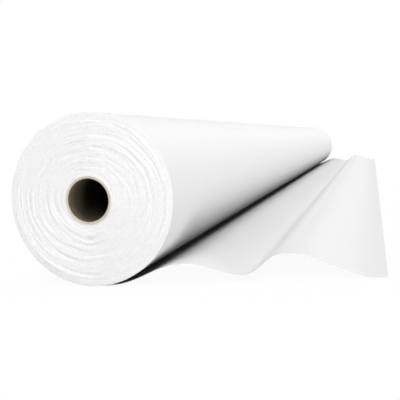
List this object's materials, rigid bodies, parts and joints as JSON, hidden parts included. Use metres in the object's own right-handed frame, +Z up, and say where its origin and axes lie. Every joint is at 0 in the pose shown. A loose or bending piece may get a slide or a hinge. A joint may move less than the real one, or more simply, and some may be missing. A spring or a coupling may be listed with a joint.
{
  "type": "geotextile roll",
  "caption": "Wide roll of white nonwoven geotextile wound on a paper core, lying on the ground, with its free end pulled out flat in two long waves.",
  "frame": {"origin": "on the ground, under the middle of the roll's axis, at the middle of its flattened foot", "axes": "+Y along the roll, away from its front end; +X along the ground, the way that the free web runs out; +Z up"},
  "size_m": [0.6512, 4.502, 0.3083],
  "materials": {
    "nonwoven_white": "matt, needle-punched and lightly calendered",
    "core_board": "matt grey board",
    "core_kraft": "matt kraft paper",
    "start_tape": "cream double-sided tape"
  },
  "bodies": {
    "laid_web": {"free_web": "nonwoven_white"},
    "roll": {"wound_web": "nonwoven_white", "core_liner": "core_kraft", "core_wall": "core_board", "core_wrap": "core_kraft", "start_tape_1": "start_tape", "start_tape_2": "start_tape", "start_tape_3": "start_tape", "start_tape_4": "start_tape", "start_tape_5": "start_tape"}
  },
  "joints": [
    {"name": "roll_turn", "type": "hinge", "parent": "laid_web", "child": "roll", "pos_m": [0, 0, 0.1545], "axis": [0, -1, 0], "continuous": true}
  ]
}
